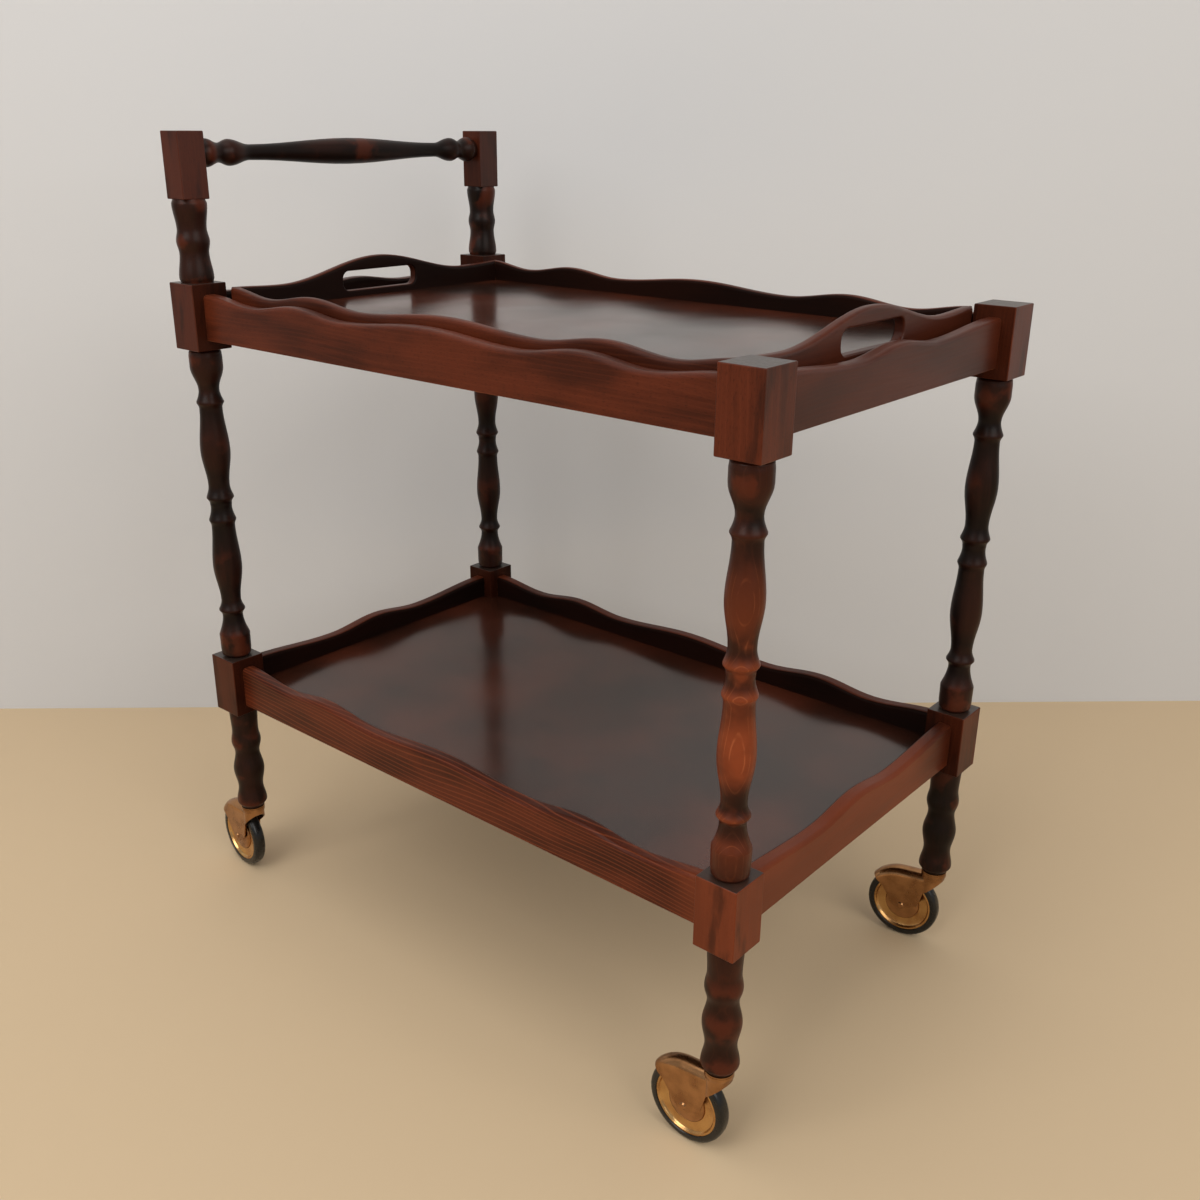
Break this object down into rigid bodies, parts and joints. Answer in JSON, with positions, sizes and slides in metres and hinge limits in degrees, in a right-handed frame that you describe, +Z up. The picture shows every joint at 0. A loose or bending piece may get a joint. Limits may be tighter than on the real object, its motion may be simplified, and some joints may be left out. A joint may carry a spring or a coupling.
{
  "type": "serving trolley",
  "caption": "Two-tier wooden serving trolley with turned legs, wavy gallery rails, a lift-off tray with hand slots, a turned push bar and swivel castors.",
  "frame": {"origin": "on the floor, under the middle of the four legs", "axes": "+Z up, +X along the length away from the push bar, +Y to the left of the person pushing"},
  "size_m": [0.7256, 0.423, 0.797],
  "materials": {
    "stained_beech": "red-brown stained beech under a satin varnish, rubbed at the edges",
    "varnished_panel": "dark stained veneer under a glossy varnish",
    "aged_brass": "aged, lightly spotted",
    "black_rubber": "satin black",
    "plain_steel": "plain",
    "dowel_beech": "plain"
  },
  "bodies": {
    "frame": {"front_left_lower_block": "stained_beech", "front_left_upper_block": "stained_beech", "front_left_leg": "stained_beech", "front_left_foot": "stained_beech", "front_right_lower_block": "stained_beech", "front_right_upper_block": "stained_beech", "front_right_leg": "stained_beech", "front_right_foot": "stained_beech", "rear_left_lower_block": "stained_beech", "rear_left_upper_block": "stained_beech", "rear_left_leg": "stained_beech", "rear_left_foot": "stained_beech", "rear_left_handle_post": "stained_beech", "rear_left_handle_block": "stained_beech", "rear_right_lower_block": "stained_beech", "rear_right_upper_block": "stained_beech", "rear_right_leg": "stained_beech", "rear_right_foot": "stained_beech", "rear_right_handle_post": "stained_beech", "rear_right_handle_block": "stained_beech", "push_bar": "stained_beech", "lower_left_rail": "stained_beech", "lower_right_rail": "stained_beech", "lower_front_rail": "stained_beech", "lower_rear_rail": "stained_beech", "upper_left_rail": "stained_beech", "upper_right_rail": "stained_beech", "upper_front_rail": "stained_beech", "upper_rear_rail": "stained_beech", "lower_shelf": "varnished_panel", "tray_ledgers": "dowel_beech", "ledger_screws": "plain_steel", "lower_rail_dowels": "dowel_beech", "upper_rail_dowels": "dowel_beech", "castor_sockets": "aged_brass"},
    "tray": {"tray_floor": "varnished_panel", "tray_left_side": "stained_beech", "tray_right_side": "stained_beech", "tray_front_end": "stained_beech", "tray_rear_end": "stained_beech"},
    "front_left_castor": {"front_left_castor_fork": "aged_brass", "front_left_castor_stem": "plain_steel", "front_left_castor_axle": "aged_brass"},
    "front_left_wheel": {"front_left_wheel_disc": "aged_brass", "front_left_tyre": "black_rubber"},
    "front_right_castor": {"front_right_castor_fork": "aged_brass", "front_right_castor_stem": "plain_steel", "front_right_castor_axle": "aged_brass"},
    "front_right_wheel": {"front_right_wheel_disc": "aged_brass", "front_right_tyre": "black_rubber"},
    "rear_left_castor": {"rear_left_castor_fork": "aged_brass", "rear_left_castor_stem": "plain_steel", "rear_left_castor_axle": "aged_brass"},
    "rear_left_wheel": {"rear_left_wheel_disc": "aged_brass", "rear_left_tyre": "black_rubber"},
    "rear_right_castor": {"rear_right_castor_fork": "aged_brass", "rear_right_castor_stem": "plain_steel", "rear_right_castor_axle": "aged_brass"},
    "rear_right_wheel": {"rear_right_wheel_disc": "aged_brass", "rear_right_tyre": "black_rubber"}
  },
  "joints": [
    {"name": "tray_lift", "type": "slide", "parent": "frame", "child": "tray", "axis": [0, 0, 1], "range_m": [0, 0.25]},
    {"name": "front_left_swivel", "type": "hinge", "parent": "frame", "child": "front_left_castor", "pos_m": [0.3205, 0.1925, 0.087], "axis": [0, 0, 1], "continuous": true},
    {"name": "front_left_roll", "type": "hinge", "parent": "front_left_castor", "child": "front_left_wheel", "pos_m": [0.29271, 0.18909, 0.0375], "axis": [0.1219, -0.9925, 0], "continuous": true},
    {"name": "front_right_swivel", "type": "hinge", "parent": "frame", "child": "front_right_castor", "pos_m": [0.3205, -0.1925, 0.087], "axis": [0, 0, 1], "continuous": true},
    {"name": "front_right_roll", "type": "hinge", "parent": "front_right_castor", "child": "front_right_wheel", "pos_m": [0.2925, -0.19299, 0.0375], "axis": [0.0175, -0.9998, 0], "continuous": true},
    {"name": "rear_left_swivel", "type": "hinge", "parent": "frame", "child": "rear_left_castor", "pos_m": [-0.3205, 0.1925, 0.087], "axis": [0, 0, 1], "continuous": true},
    {"name": "rear_left_roll", "type": "hinge", "parent": "rear_left_castor", "child": "rear_left_wheel", "pos_m": [-0.34846, 0.19103, 0.0375], "axis": [0.0523, -0.9986, 0], "continuous": true},
    {"name": "rear_right_swivel", "type": "hinge", "parent": "frame", "child": "rear_right_castor", "pos_m": [-0.3205, -0.1925, 0.087], "axis": [0, 0, 1], "continuous": true},
    {"name": "rear_right_roll", "type": "hinge", "parent": "rear_right_castor", "child": "rear_right_wheel", "pos_m": [-0.34835, -0.18957, 0.0375], "axis": [-0.1045, -0.9945, 0], "continuous": true}
  ]
}
